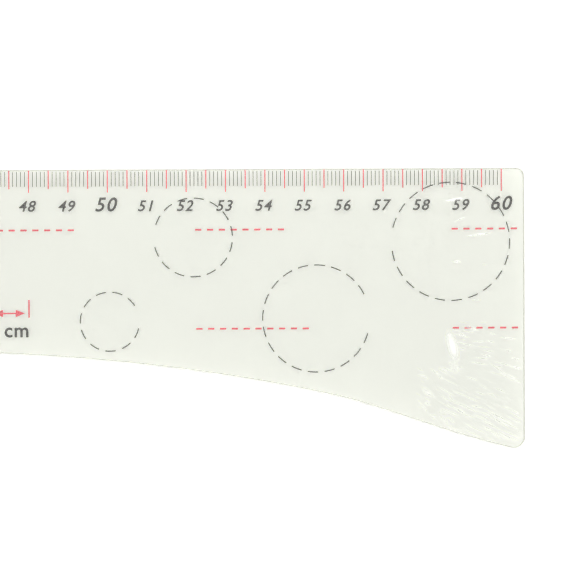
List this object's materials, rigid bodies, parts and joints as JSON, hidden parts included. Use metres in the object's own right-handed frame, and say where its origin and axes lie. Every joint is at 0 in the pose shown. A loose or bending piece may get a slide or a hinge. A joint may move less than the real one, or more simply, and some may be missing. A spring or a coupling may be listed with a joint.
{
  "type": "french curve",
  "caption": "Clear acrylic pattern-drafting curve with a straight centimetre scale, a long hip curve, a curved head with a window, printed marks and a clear film.",
  "frame": {"origin": "centre of the footprint, on the back face", "axes": "+X along the scale towards the 60 cm mark, +Y towards the straight measuring edge, +Z out of the printed face"},
  "size_m": [0.6118, 0.121, 0.0026],
  "materials": {
    "clear_acrylic": "clear polished acrylic, faint green-yellow tint, cut edges slightly darker",
    "clear_film": "thin clear film, wrinkled near the 60 cm end",
    "black_ink": "dark warm grey screen-printed ink",
    "red_ink": "red screen-printed ink, slightly see-through"
  },
  "bodies": {
    "root": {"ruler_blade": "clear_acrylic", "front_film": "clear_film"}
  },
  "joints": []
}
